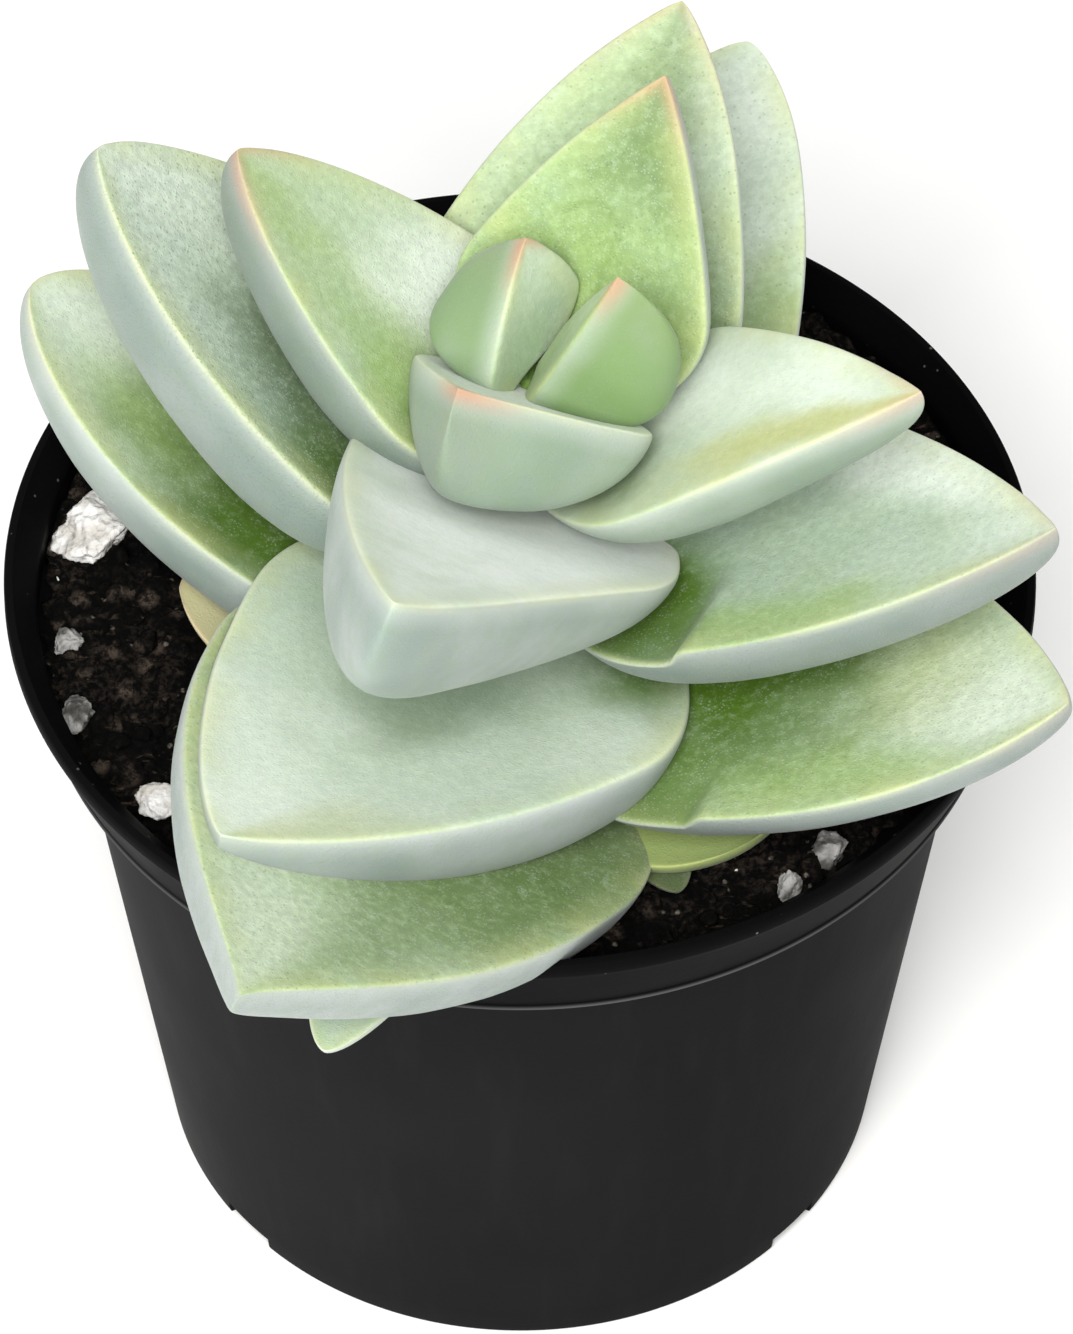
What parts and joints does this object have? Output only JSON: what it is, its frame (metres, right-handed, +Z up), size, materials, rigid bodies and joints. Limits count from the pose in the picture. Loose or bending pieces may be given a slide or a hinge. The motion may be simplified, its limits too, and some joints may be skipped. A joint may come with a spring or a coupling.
{
  "type": "potted succulent",
  "caption": "Round plastic nursery pot of dark soil with a succulent of thick keeled leaves in crossed pairs on a short stem; stands on a shelf or sill.",
  "frame": {"origin": "centre of the pot's flat underside", "axes": "+Z up along the pot's axis, -Y towards the front of the picture, +X to the right"},
  "size_m": [0.1071, 0.1334, 0.1306],
  "materials": {
    "pot": "satin black",
    "soil": "dark crumbly potting mix",
    "stem": "soft green plant tissue",
    "perlite": "rough white",
    "leaf": "pale grey-green with a powdery bloom",
    "old_leaf": "yellow-green"
  },
  "bodies": {
    "root": {"pot": "pot", "soil": "soil", "stem": "stem", "perlite_1": "perlite", "perlite_2": "perlite", "perlite_3": "perlite", "perlite_4": "perlite", "perlite_5": "perlite", "perlite_6": "perlite", "leaf_apex_right": "leaf", "leaf_apex_left": "leaf", "leaf_back_1": "leaf", "leaf_front_1": "leaf", "leaf_front_2": "leaf", "leaf_left_1": "leaf", "leaf_right_1": "leaf", "leaf_back_2": "leaf", "leaf_left_2": "leaf", "leaf_right_2": "leaf", "leaf_back_3": "leaf", "leaf_front_3": "leaf", "leaf_left_3": "leaf", "leaf_right_3": "leaf", "leaf_front_4": "leaf", "leaf_front_5": "leaf", "leaf_left_4": "old_leaf", "leaf_right_4": "old_leaf", "leaf_sprout": "old_leaf"}
  },
  "joints": []
}
